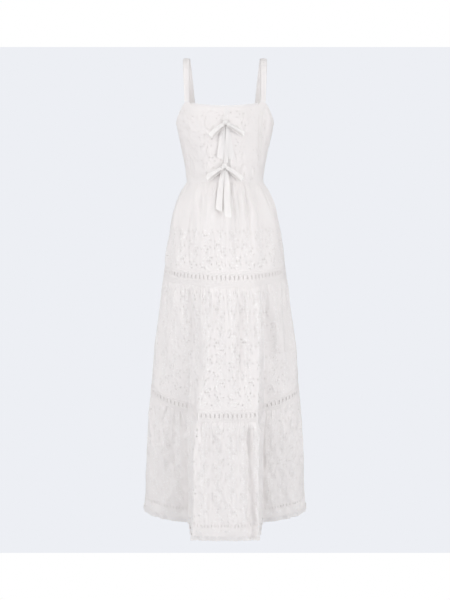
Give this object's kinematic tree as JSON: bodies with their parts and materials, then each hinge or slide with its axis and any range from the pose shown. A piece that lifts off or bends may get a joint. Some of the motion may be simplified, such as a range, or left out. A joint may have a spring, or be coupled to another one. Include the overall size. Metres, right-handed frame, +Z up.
{
  "type": "embroidered midi dress",
  "caption": "Sleeveless square-neck dress in white eyelet cotton, with tie bows down the front and a gathered tiered skirt joined by slotted lace bands, held open in its worn shape.",
  "frame": {"origin": "midway between the crowns of the two straps, where a wearer's shoulders hold the dress", "axes": "+Z up along the dress's length, -Y out of the centre front, +X to the right as the front is seen"},
  "size_m": [0.4858, 0.4515, 1.3407],
  "materials": {
    "eyelet_cotton": "matt white cotton with open eyelet embroidery",
    "trim_lace": "matt white cotton lace with stitched edges",
    "ribbon_cotton": "smooth white cotton with a slight sheen"
  },
  "bodies": {
    "root": {"bodice_front_left": "eyelet_cotton", "bodice_front_right": "eyelet_cotton", "bodice_back": "eyelet_cotton", "strap_left": "eyelet_cotton", "strap_right": "eyelet_cotton", "upper_tier_front": "eyelet_cotton", "upper_tier_back": "eyelet_cotton", "middle_tier_front": "eyelet_cotton", "middle_tier_back": "eyelet_cotton", "lower_tier_front": "eyelet_cotton", "lower_tier_back": "eyelet_cotton", "neck_lace": "trim_lace", "strap_lace_left": "trim_lace", "strap_lace_right": "trim_lace", "upper_ladder_front": "trim_lace", "upper_ladder_back": "trim_lace", "lower_ladder_front": "trim_lace", "lower_ladder_back": "trim_lace", "hem_lace_front": "trim_lace", "hem_lace_back": "trim_lace", "front_placket": "ribbon_cotton", "upper_bow_loop_left": "ribbon_cotton", "upper_bow_loop_right": "ribbon_cotton", "upper_bow_tail_left": "ribbon_cotton", "upper_bow_tail_right": "ribbon_cotton", "upper_bow_knot": "ribbon_cotton", "lower_bow_loop_left": "ribbon_cotton", "lower_bow_loop_right": "ribbon_cotton", "lower_bow_tail_left": "ribbon_cotton", "lower_bow_tail_right": "ribbon_cotton", "lower_bow_knot": "ribbon_cotton"}
  },
  "joints": []
}
